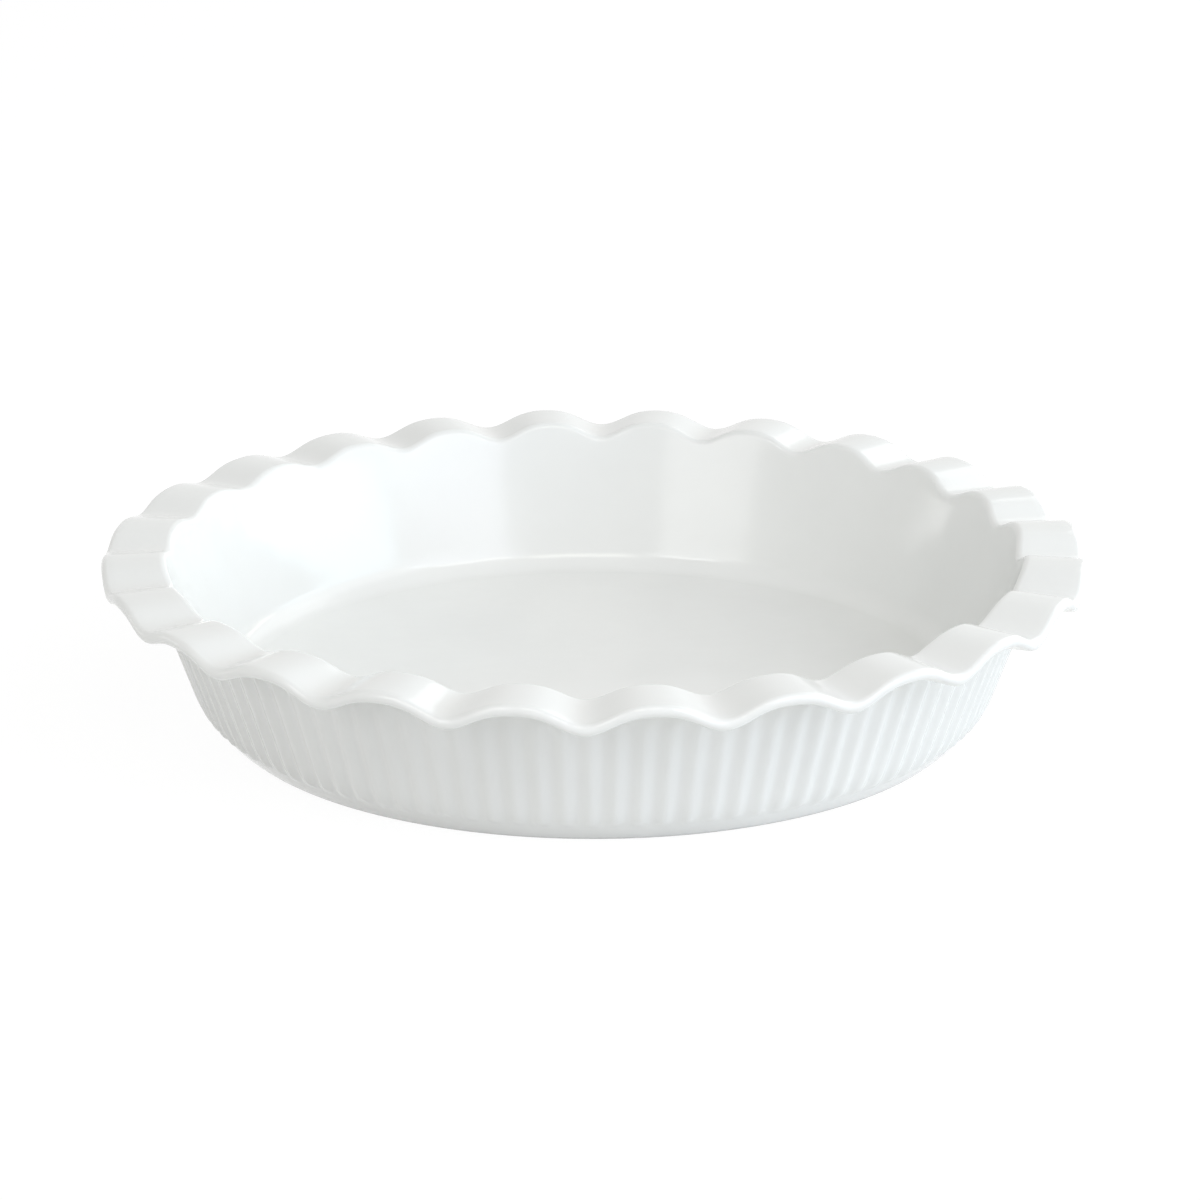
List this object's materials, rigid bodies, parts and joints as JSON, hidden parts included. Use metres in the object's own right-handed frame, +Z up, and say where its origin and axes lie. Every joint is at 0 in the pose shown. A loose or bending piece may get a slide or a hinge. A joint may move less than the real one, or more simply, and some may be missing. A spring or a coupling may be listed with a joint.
{
  "type": "pie dish",
  "caption": "Round ceramic pie dish with a ruffled overhanging rim, a fluted flaring wall and a flat floor on a low foot ring.",
  "frame": {"origin": "centre of the foot, on the table that the dish stands on", "axes": "+Z up through the mouth of the dish; X and Y alike, because the dish is round"},
  "size_m": [0.28, 0.28, 0.0492],
  "materials": {
    "stoneware": "white stoneware under a thin sprayed gloss glaze, bare only on the foot ring",
    "liner_glaze": "poured white gloss glaze, smooth",
    "base_glaze": "thin white gloss glaze, wiped back from the foot ring"
  },
  "bodies": {
    "root": {"stoneware_body": "stoneware", "liner_glaze": "liner_glaze", "base_glaze": "base_glaze"}
  },
  "joints": []
}
